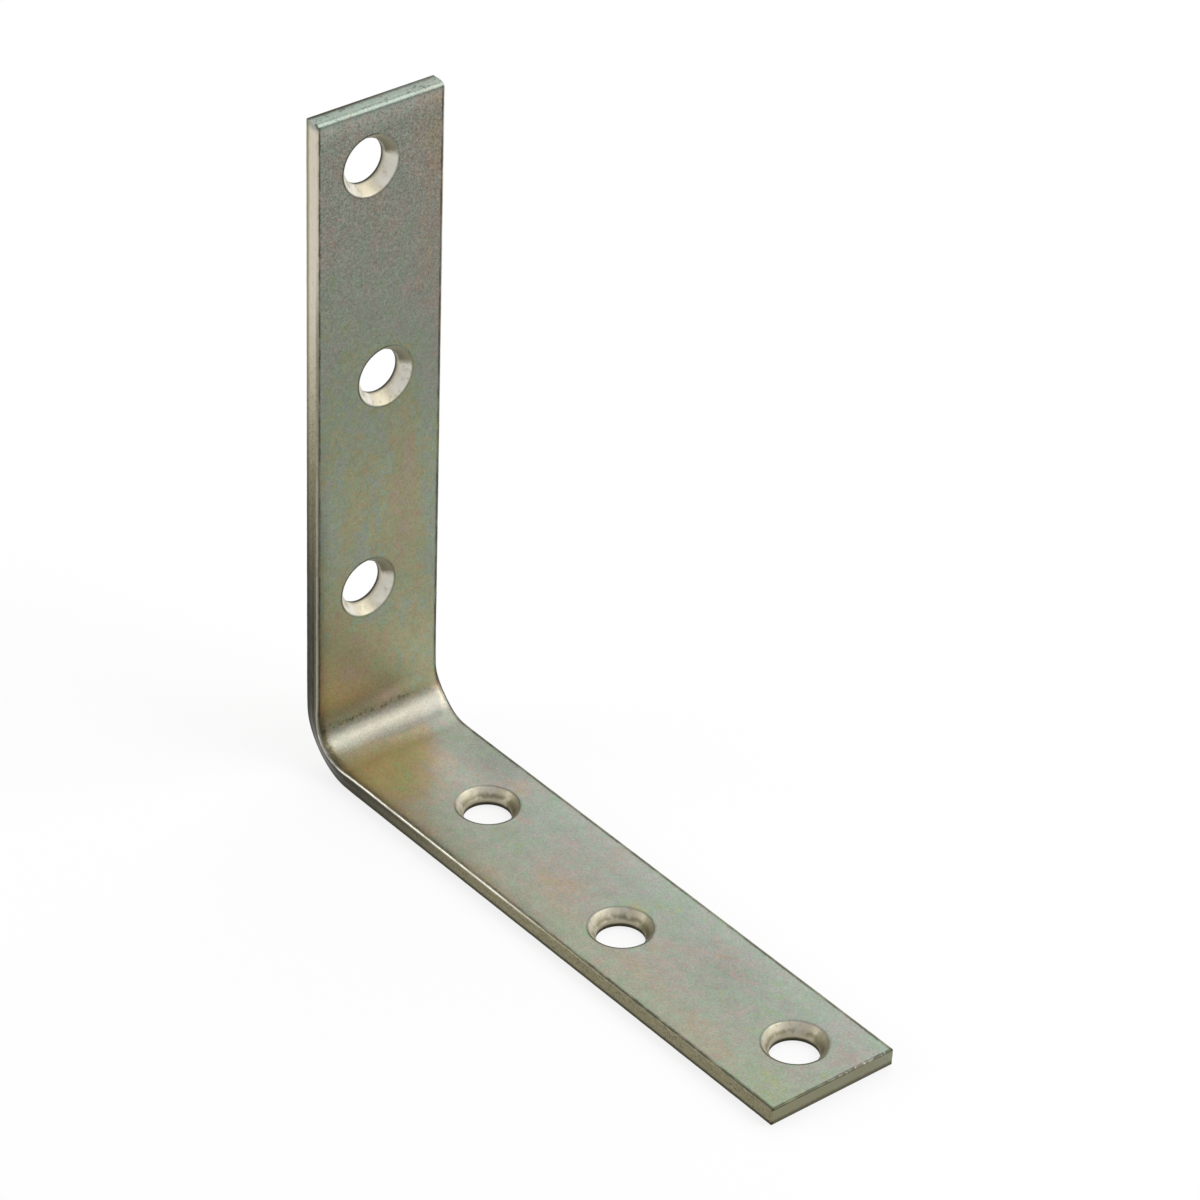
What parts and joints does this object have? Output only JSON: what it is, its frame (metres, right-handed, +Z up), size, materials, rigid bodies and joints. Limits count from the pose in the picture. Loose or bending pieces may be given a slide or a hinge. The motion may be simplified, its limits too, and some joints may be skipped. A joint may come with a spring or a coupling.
{
  "type": "angle bracket",
  "caption": "Steel corner bracket: one strip bent square with staggered countersunk screw holes in both legs, for joining two boards at a right angle.",
  "frame": {"origin": "the heel, where the planes of the two outer faces cross, at mid width of the strip", "axes": "+X along the base leg away from the heel, +Z up the upright leg, +Y across the strip; the base leg's outer face lies on z = 0"},
  "size_m": [0.1228, 0.027, 0.1243],
  "materials": {
    "zinc_plated_steel": "satin zinc plating with a faint olive, pink and green passivation tint"
  },
  "bodies": {
    "root": {"angle_bracket": "zinc_plated_steel"}
  },
  "joints": []
}
